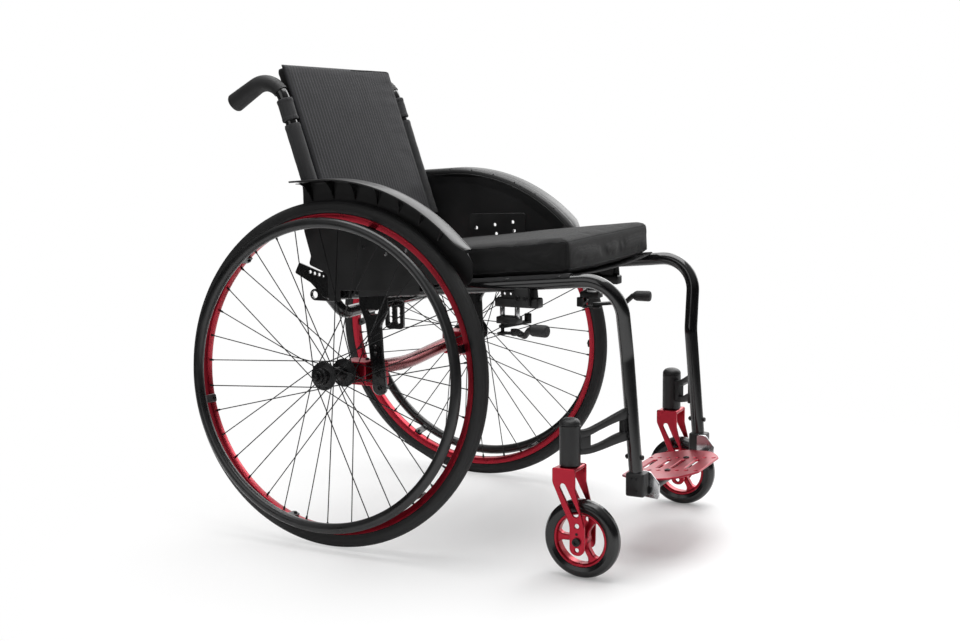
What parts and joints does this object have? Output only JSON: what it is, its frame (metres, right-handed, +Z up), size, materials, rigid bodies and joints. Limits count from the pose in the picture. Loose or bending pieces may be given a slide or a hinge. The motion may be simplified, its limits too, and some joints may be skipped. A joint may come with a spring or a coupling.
{
  "type": "rigid wheelchair",
  "caption": "Rigid-frame manual wheelchair with cambered spoked wheels, swivel casters, folding backrest, scissor brakes and adjustable footrest.",
  "frame": {"origin": "on the floor, at the middle of the footprint", "axes": "+X to the user's left, -Y to the front, +Z up"},
  "size_m": [0.6298, 0.8774, 0.8132],
  "materials": {
    "frame_black": "gloss black powder coat on aluminium tube",
    "red_anodised": "satin red anodised aluminium",
    "tyre_rubber": "matt black rubber with a fine tread",
    "grip_rubber": "matt black moulded rubber",
    "handrim_black": "black anodised, satin, with a soft highlight",
    "spoke_black": "black oxide steel",
    "bright_steel": "bright plated steel",
    "guard_plastic": "moulded black composite, satin",
    "black_plastic": "black moulded nylon",
    "seat_fabric": "charcoal woven polyester",
    "back_fabric": "charcoal ribbed spacer mesh"
  },
  "bodies": {
    "frame": {"rear_cross_tube": "frame_black", "camber_tube": "red_anodised", "seat_sling": "seat_fabric", "seat_cushion": "seat_fabric", "side_frame_left": "frame_black", "side_frame_right": "frame_black", "axle_support_left": "frame_black", "axle_support_right": "frame_black", "axle_clamp_left": "red_anodised", "axle_clamp_right": "red_anodised", "caster_arm_left": "frame_black", "caster_arm_right": "frame_black", "hinge_plate_left": "frame_black", "hinge_plate_right": "frame_black", "side_guard_left": "guard_plastic", "side_guard_right": "guard_plastic", "guard_bracket_left": "black_plastic", "guard_bracket_right": "black_plastic", "brake_mount_left": "black_plastic", "brake_mount_right": "black_plastic", "axle_pin_left": "bright_steel", "axle_pin_right": "bright_steel"},
    "wheel_left": {"tyre_left": "tyre_rubber", "rim_left": "red_anodised", "hub_left": "spoke_black", "handrim_left": "handrim_black"},
    "button_left": {"release_button_left": "bright_steel"},
    "fork_left": {"caster_fork_left": "red_anodised", "caster_axle_left": "bright_steel"},
    "caster_left": {"caster_rim_left": "red_anodised", "caster_tyre_left": "tyre_rubber"},
    "lever_left": {"brake_lever_left": "frame_black", "brake_grip_left": "grip_rubber"},
    "shoe_left": {"brake_shoe_left": "bright_steel"},
    "wheel_right": {"tyre_right": "tyre_rubber", "rim_right": "red_anodised", "hub_right": "spoke_black", "handrim_right": "handrim_black"},
    "button_right": {"release_button_right": "bright_steel"},
    "fork_right": {"caster_fork_right": "red_anodised", "caster_axle_right": "bright_steel"},
    "caster_right": {"caster_rim_right": "red_anodised", "caster_tyre_right": "tyre_rubber"},
    "lever_right": {"brake_lever_right": "frame_black", "brake_grip_right": "grip_rubber"},
    "shoe_right": {"brake_shoe_right": "bright_steel"},
    "backrest": {"back_cane_left": "frame_black", "back_cane_right": "frame_black", "push_grip_left": "grip_rubber", "push_grip_right": "grip_rubber", "back_upholstery": "back_fabric"},
    "footrest": {"footrest_tube_left": "frame_black", "footrest_tube_right": "frame_black", "footrest_clamp_left": "black_plastic", "footrest_clamp_right": "black_plastic", "footrest_bracket_left": "bright_steel", "footrest_bracket_right": "bright_steel"},
    "foot_tilt": {"footrest_bar": "black_plastic", "footplate": "red_anodised"}
  },
  "joints": [
    {"name": "wheel_left_spin", "type": "hinge", "parent": "frame", "child": "wheel_left", "pos_m": [0.249, 0.14425, 0.29411], "axis": [0.997, 0, 0.0778], "continuous": true},
    {"name": "button_left_press", "type": "slide", "parent": "frame", "child": "button_left", "axis": [-0.997, 0, -0.0778], "range_m": [0, 0.005], "stiffness_N_per_m": 600, "springref_m": -0.003},
    {"name": "fork_left_swivel", "type": "hinge", "parent": "frame", "child": "fork_left", "pos_m": [0.235, -0.28725, 0.2], "axis": [0, 0, 1], "continuous": true},
    {"name": "caster_left_roll", "type": "hinge", "parent": "fork_left", "child": "caster_left", "pos_m": [0.235, -0.30875, 0.0636], "axis": [1, 0, 0], "continuous": true},
    {"name": "brake_left_lever", "type": "hinge", "parent": "frame", "child": "lever_left", "pos_m": [0.172, -0.16075, 0.3775], "axis": [0, 0, -1], "range_deg": [0, 80]},
    {"name": "brake_left_shoe", "type": "hinge", "parent": "frame", "child": "shoe_left", "pos_m": [0.172, -0.13875, 0.3835], "axis": [0, 0, 1], "range_deg": [0, 162.96]},
    {"name": "wheel_right_spin", "type": "hinge", "parent": "frame", "child": "wheel_right", "pos_m": [-0.249, 0.14425, 0.29411], "axis": [-0.997, 0, 0.0778], "continuous": true},
    {"name": "button_right_press", "type": "slide", "parent": "frame", "child": "button_right", "axis": [0.997, 0, -0.0778], "range_m": [0, 0.005], "stiffness_N_per_m": 600, "springref_m": -0.003},
    {"name": "fork_right_swivel", "type": "hinge", "parent": "frame", "child": "fork_right", "pos_m": [-0.235, -0.28725, 0.2], "axis": [0, 0, 1], "continuous": true},
    {"name": "caster_right_roll", "type": "hinge", "parent": "fork_right", "child": "caster_right", "pos_m": [-0.235, -0.30875, 0.0636], "axis": [1, 0, 0], "continuous": true},
    {"name": "brake_right_lever", "type": "hinge", "parent": "frame", "child": "lever_right", "pos_m": [-0.172, -0.16075, 0.3775], "axis": [0, 0, 1], "range_deg": [0, 80]},
    {"name": "brake_right_shoe", "type": "hinge", "parent": "frame", "child": "shoe_right", "pos_m": [-0.172, -0.13875, 0.3835], "axis": [0, 0, -1], "range_deg": [0, 162.96]},
    {"name": "backrest_fold", "type": "hinge", "parent": "frame", "child": "backrest", "pos_m": [0, 0.17275, 0.468], "axis": [1, 0, 0], "range_deg": [0, 85], "deforming": ["seat_cushion"]},
    {"name": "footrest_height", "type": "slide", "parent": "frame", "child": "footrest", "axis": [0, -0.0862, -0.9963], "range_m": [0, 0.05]},
    {"name": "footplate_angle", "type": "hinge", "parent": "footrest", "child": "foot_tilt", "pos_m": [0, -0.38375, 0.1275], "axis": [1, 0, 0], "range_deg": [-10, 15]}
  ],
  "couplings": [
    {"joint": "brake_left_shoe", "follows": "brake_left_lever", "ratio": 2.037},
    {"joint": "brake_right_shoe", "follows": "brake_right_lever", "ratio": 2.037}
  ]
}
